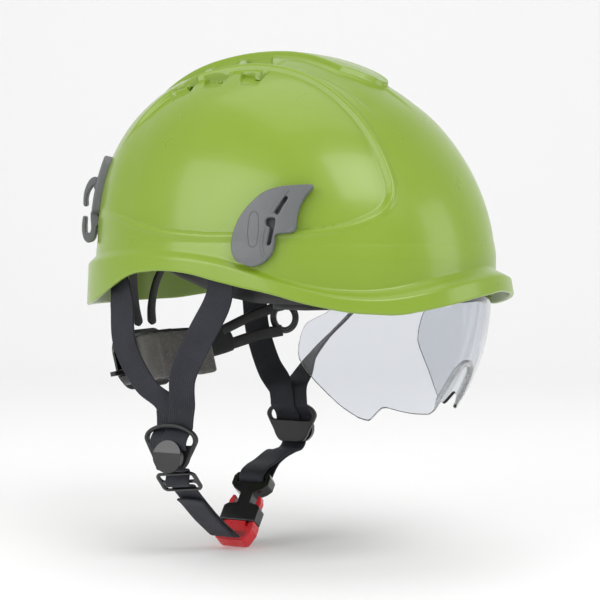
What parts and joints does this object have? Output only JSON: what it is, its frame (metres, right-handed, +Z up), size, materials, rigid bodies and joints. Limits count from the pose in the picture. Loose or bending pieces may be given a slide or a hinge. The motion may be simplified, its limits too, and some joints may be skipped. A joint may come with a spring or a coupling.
{
  "type": "forestry helmet",
  "caption": "Forestry climbing helmet: lime shell with vents and lamp clips, retracting clear visor, size wheel at the nape and a four point chin harness with side release buckle.",
  "frame": {"origin": "middle of the head opening, level with the front rim", "axes": "+Z up, -Y to the front of the helmet, -X to the wearer's right"},
  "size_m": [0.2224, 0.2849, 0.3269],
  "materials": {
    "shell_abs": "gloss",
    "clip_grey": "satin",
    "black_nylon": "satin",
    "black_gloss": "gloss",
    "webbing": "woven",
    "lens_clear": "clear gloss",
    "clear_soft": "satin",
    "foam": "matt",
    "seal_rubber": "matt",
    "red_pom": "satin"
  },
  "bodies": {
    "helmet": {"shell": "shell_abs", "front_clip_right": "clip_grey", "front_clip_left": "clip_grey", "rear_clip_right": "clip_grey", "rear_clip_left": "clip_grey", "visor_carrier_right": "black_nylon", "visor_carrier_left": "black_nylon", "harness_keys": "black_nylon", "headband": "black_nylon", "sweatband": "foam", "cradle_strap_long": "webbing", "cradle_strap_front": "webbing", "cradle_strap_rear": "webbing", "crown_pad": "foam", "strap_anchor_front": "black_nylon", "strap_anchor_rear": "black_nylon", "strap_front_right": "webbing", "strap_front_left": "webbing", "strap_rear_right": "webbing", "strap_rear_left": "webbing", "divider_right": "black_nylon", "divider_left": "black_nylon", "nape_pins": "black_nylon", "chin_strap_right": "webbing", "chin_strap_left": "webbing", "chin_strap_tail": "webbing", "buckle_socket": "black_gloss"},
    "visor": {"visor_lens": "lens_clear", "visor_arm_right": "black_nylon", "visor_arm_left": "black_nylon", "visor_nose_pad": "clear_soft", "visor_seal": "seal_rubber"},
    "nape_unit": {"nape_arm_right": "black_nylon", "nape_arm_left": "black_nylon", "nape_pad": "foam", "nape_hanger_right": "black_nylon", "nape_hanger_left": "black_nylon", "ratchet_housing": "black_nylon", "ratchet_cover": "black_nylon"},
    "size_wheel": {"ratchet_wheel": "red_pom", "ratchet_pinion": "black_nylon"},
    "size_rack_right": {"rack_right": "black_nylon"},
    "size_rack_left": {"rack_left": "black_nylon"},
    "lock_right": {"divider_lock_right": "black_nylon"},
    "lock_left": {"divider_lock_left": "black_nylon"},
    "strap_adjuster": {"ladder_lock": "black_nylon"},
    "plug": {"buckle_plug": "red_pom"},
    "press_arm_front": {"buckle_arm_front": "red_pom"},
    "press_arm_rear": {"buckle_arm_rear": "red_pom"}
  },
  "joints": [
    {"name": "visor_tilt", "type": "hinge", "parent": "helmet", "child": "visor", "pos_m": [0, -0.006, 0.003], "axis": [-1, 0, 0], "range_deg": [0, 42]},
    {"name": "nape_swing", "type": "hinge", "parent": "helmet", "child": "nape_unit", "pos_m": [0, 0.103, 0.036], "axis": [1, 0, 0], "range_deg": [-5, 5], "stiffness_Nm_per_rad": 2},
    {"name": "size_wheel_turn", "type": "hinge", "parent": "nape_unit", "child": "size_wheel", "pos_m": [0, 0.1036, -0.04], "axis": [0, 0.9703, -0.2419], "range_deg": [-120, 60]},
    {"name": "size_rack_right_slide", "type": "slide", "parent": "nape_unit", "child": "size_rack_right", "axis": [-1, 0, 0], "range_m": [-0.0123, 0.0062]},
    {"name": "size_rack_left_slide", "type": "slide", "parent": "nape_unit", "child": "size_rack_left", "axis": [1, 0, 0], "range_m": [-0.0123, 0.0062]},
    {"name": "divider_lock_right_turn", "type": "hinge", "parent": "helmet", "child": "lock_right", "pos_m": [-0.08, 0.0395, -0.095], "axis": [-1, 0, 0], "range_deg": [0, 90]},
    {"name": "divider_lock_left_turn", "type": "hinge", "parent": "helmet", "child": "lock_left", "pos_m": [0.08, 0.0395, -0.095], "axis": [1, 0, 0], "range_deg": [0, 90]},
    {"name": "strap_adjuster_slide", "type": "slide", "parent": "helmet", "child": "strap_adjuster", "axis": [0, 0, 1], "range_m": [-0.004, 0], "deforming": ["chin_strap_right"]},
    {"name": "buckle_release", "type": "slide", "parent": "helmet", "child": "plug", "axis": [-0.6361, 0, -0.7716], "range_m": [0, 0.026], "deforming": ["chin_strap_tail"]},
    {"name": "press_arm_front_squeeze", "type": "hinge", "parent": "plug", "child": "press_arm_front", "pos_m": [0.00227, 0.0316, -0.15197], "axis": [-0.7716, 0, 0.6361], "range_deg": [0, 4.5], "stiffness_Nm_per_rad": 0.05},
    {"name": "press_arm_rear_squeeze", "type": "hinge", "parent": "plug", "child": "press_arm_rear", "pos_m": [0.00227, 0.0504, -0.15197], "axis": [0.7716, 0, -0.6361], "range_deg": [0, 4.5], "stiffness_Nm_per_rad": 0.05}
  ],
  "couplings": [
    {"joint": "size_rack_right_slide", "follows": "size_wheel_turn", "m_per_rad": 0.0058},
    {"joint": "size_rack_left_slide", "follows": "size_wheel_turn", "m_per_rad": 0.0058}
  ]
}
